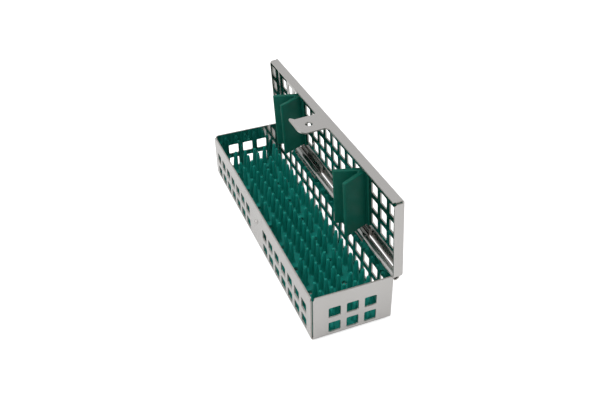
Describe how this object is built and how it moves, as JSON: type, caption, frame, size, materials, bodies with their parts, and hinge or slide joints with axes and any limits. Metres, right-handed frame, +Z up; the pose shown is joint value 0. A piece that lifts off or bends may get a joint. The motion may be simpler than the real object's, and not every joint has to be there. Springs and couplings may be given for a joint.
{
  "type": "dental instrument cassette",
  "caption": "Small hinged cassette of perforated sheet steel: a tray with a mat of soft fingers and a latching lid that carries two soft V-shaped holders.",
  "frame": {"origin": "middle of the tray's flat underside", "axes": "+X along the tray, +Y from the latch to the hinge, +Z up"},
  "size_m": [0.172, 0.0519, 0.077],
  "materials": {
    "sheet_steel": "satin outside, near-mirror inside",
    "pin_steel": "drawn wire",
    "silicone": "satin, slightly translucent"
  },
  "bodies": {
    "tray": {"tray_shell": "sheet_steel", "hinge_pin": "pin_steel", "latch_stud": "sheet_steel", "finger_mat": "silicone"},
    "lid": {"lid_shell": "sheet_steel", "hinge_leaf_far": "sheet_steel", "hinge_leaf_near": "sheet_steel", "holder_far": "silicone", "holder_near": "silicone"}
  },
  "joints": [
    {"name": "lid_hinge", "type": "hinge", "parent": "tray", "child": "lid", "pos_m": [0, 0.02415, 0.0275], "axis": [1, 0, 0], "range_deg": [-93, 87]}
  ]
}
